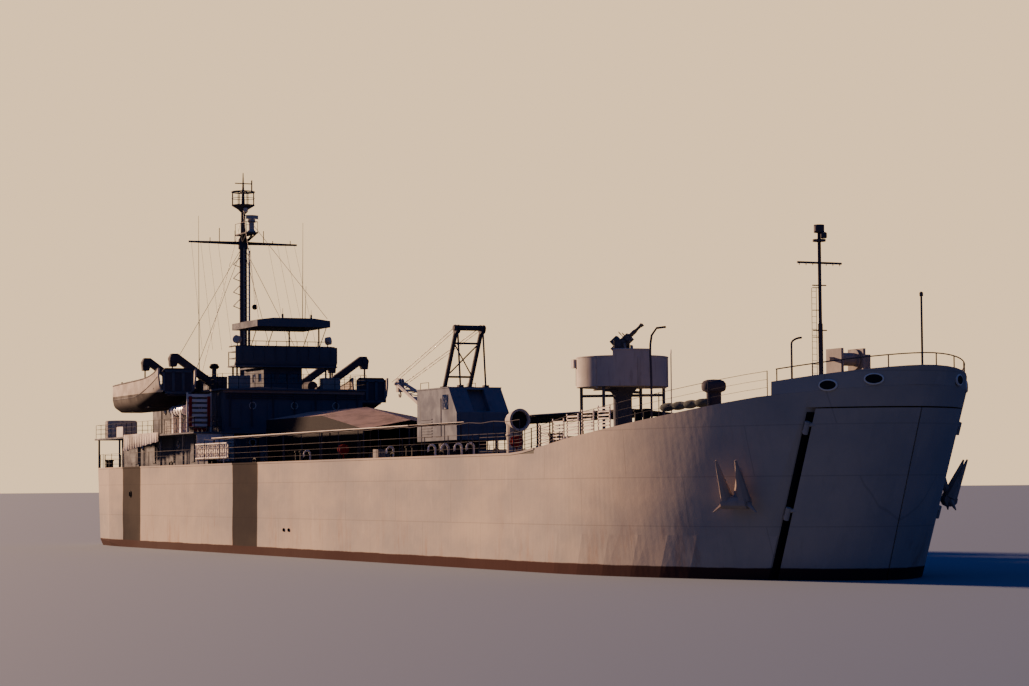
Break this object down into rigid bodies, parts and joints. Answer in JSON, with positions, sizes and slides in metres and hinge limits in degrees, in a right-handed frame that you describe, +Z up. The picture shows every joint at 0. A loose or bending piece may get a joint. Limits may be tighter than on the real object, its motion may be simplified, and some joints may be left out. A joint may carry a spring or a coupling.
{
  "type": "beaching landing ship, 1:10 scale model",
  "caption": "Beaching landing ship with bow doors, ramp, tank deck, deck crane, gun tub, conning bridge, masts and landing boats in davits.",
  "frame": {"origin": "on the flat keel bottom, at mid-length on the centreline", "axes": "+X to the bow, +Y to port, +Z up"},
  "size_m": [9.9875, 1.7336, 2.89],
  "materials": {
    "hull_grey": "matt hull paint, warm light grey, weathered",
    "bottom_red": "matt dark red-brown bottom paint",
    "deck_grey": "non-slip deck paint, dull grey",
    "house_grey": "matt superstructure paint, mid grey",
    "dark_steel": "matt dark grey paint over steel",
    "bronze": "cast and ground propeller bronze, dulled by sea water",
    "anchor_iron": "painted cast iron with rust at the edges",
    "gun_steel": "satin dark grey paint on machined steel",
    "canvas_tan": "sun-bleached tan canvas",
    "canvas_dark": "dark grey-green canvas",
    "raft_white": "white moulded raft canister"
  },
  "bodies": {
    "ship": {"hull_stern": "hull_grey", "hull_side_port": "hull_grey", "hull_side_starboard": "hull_grey", "hull_bow": "hull_grey", "bow_bulwark": "hull_grey", "side_rail_port": "hull_grey", "side_rail_starboard": "hull_grey", "landing_boat_port": "hull_grey", "landing_boat_starboard": "hull_grey", "stern_tub_port": "hull_grey", "stern_tub_starboard": "hull_grey", "cowl_vent_port": "hull_grey", "cowl_vent_starboard": "hull_grey", "hull_bottom": "bottom_red", "main_deck": "deck_grey", "cargo_hatch": "deck_grey", "deckhouse_lower": "house_grey", "deckhouse_upper": "house_grey", "pilothouse": "house_grey", "conning_bridge": "house_grey", "forward_gun_tub": "house_grey", "gun_tub_pedestal": "house_grey", "bridge_canopy": "dark_steel", "main_mast": "dark_steel", "fore_mast": "dark_steel", "jackstaff": "dark_steel", "lamp_post": "dark_steel", "davit_aft_port": "dark_steel", "davit_aft_starboard": "dark_steel", "davit_forward_port": "dark_steel", "davit_forward_starboard": "dark_steel", "crane_base": "dark_steel", "windlass": "dark_steel", "stern_winch": "dark_steel", "mushroom_vent_port": "dark_steel", "mushroom_vent_starboard": "dark_steel", "awning_frame_starboard": "dark_steel", "awning_frame_port": "dark_steel", "anchor_port": "anchor_iron", "anchor_starboard": "anchor_iron", "awning_starboard": "canvas_tan", "hatch_tent": "canvas_tan", "awning_port": "canvas_dark", "liferaft_port": "raft_white", "liferaft_starboard": "raft_white"},
    "bow_door_port": {"bow_door_port": "hull_grey"},
    "bow_door_starboard": {"bow_door_starboard": "hull_grey"},
    "bow_ramp": {"bow_ramp": "deck_grey"},
    "propeller_port": {"propeller_port": "bronze"},
    "propeller_starboard": {"propeller_starboard": "bronze"},
    "rudder_port": {"rudder_port": "bottom_red"},
    "rudder_starboard": {"rudder_starboard": "bottom_red"},
    "boat_ramp_port": {"boat_ramp_port": "house_grey"},
    "boat_ramp_starboard": {"boat_ramp_starboard": "house_grey"},
    "crane": {"crane_house": "house_grey", "crane_gantry": "dark_steel"},
    "crane_boom": {"crane_boom": "dark_steel"},
    "gun_carriage": {"gun_carriage": "gun_steel"},
    "gun_cradle": {"gun_cradle": "gun_steel"}
  },
  "joints": [
    {"name": "bow_door_port_hinge", "type": "hinge", "parent": "ship", "child": "bow_door_port", "pos_m": [4.48475, 0.38286, 0.5], "axis": [0.4064, 0, 0.9137], "range_deg": [0, 95]},
    {"name": "bow_door_starboard_hinge", "type": "hinge", "parent": "ship", "child": "bow_door_starboard", "pos_m": [4.48475, -0.38286, 0.5], "axis": [-0.4064, 0, -0.9137], "range_deg": [0, 95]},
    {"name": "bow_ramp_hinge", "type": "hinge", "parent": "ship", "child": "bow_ramp", "pos_m": [3.8173, 0, 0.375], "axis": [0, 1, 0], "range_deg": [0, 74]},
    {"name": "propeller_port_spin", "type": "hinge", "parent": "ship", "child": "propeller_port", "pos_m": [-4.355, 0.275, 0.112], "axis": [1, 0, 0], "continuous": true},
    {"name": "propeller_starboard_spin", "type": "hinge", "parent": "ship", "child": "propeller_starboard", "pos_m": [-4.355, -0.275, 0.112], "axis": [1, 0, 0], "continuous": true},
    {"name": "rudder_port_steer", "type": "hinge", "parent": "ship", "child": "rudder_port", "pos_m": [-4.565, 0.275, 0.11], "axis": [0, 0, 1], "range_deg": [-35, 35]},
    {"name": "rudder_starboard_steer", "type": "hinge", "parent": "ship", "child": "rudder_starboard", "pos_m": [-4.565, -0.275, 0.11], "axis": [0, 0, 1], "range_deg": [-35, 35]},
    {"name": "boat_ramp_port_hinge", "type": "hinge", "parent": "ship", "child": "boat_ramp_port", "pos_m": [-2.854, 0.71, 1.202], "axis": [0, 1, 0], "range_deg": [0, 100]},
    {"name": "boat_ramp_starboard_hinge", "type": "hinge", "parent": "ship", "child": "boat_ramp_starboard", "pos_m": [-2.854, -0.71, 1.252], "axis": [0, 1, 0], "range_deg": [0, 100]},
    {"name": "crane_slew", "type": "hinge", "parent": "ship", "child": "crane", "pos_m": [0.29, 0, 0.9], "axis": [0, 0, 1], "continuous": true},
    {"name": "crane_boom_luff", "type": "hinge", "parent": "crane", "child": "crane_boom", "pos_m": [-0.023, 0, 1.045], "axis": [0, 1, 0], "range_deg": [-5, 55]},
    {"name": "gun_train", "type": "hinge", "parent": "ship", "child": "gun_carriage", "pos_m": [2.275, 0, 1.2], "axis": [0, 0, 1], "continuous": true},
    {"name": "gun_elevate", "type": "hinge", "parent": "gun_carriage", "child": "gun_cradle", "pos_m": [2.275, 0, 1.33], "axis": [0.766, -0.6428, 0], "range_deg": [-47, 43]}
  ],
  "couplings": [
    {"joint": "rudder_starboard_steer", "follows": "rudder_port_steer", "ratio": 1}
  ]
}
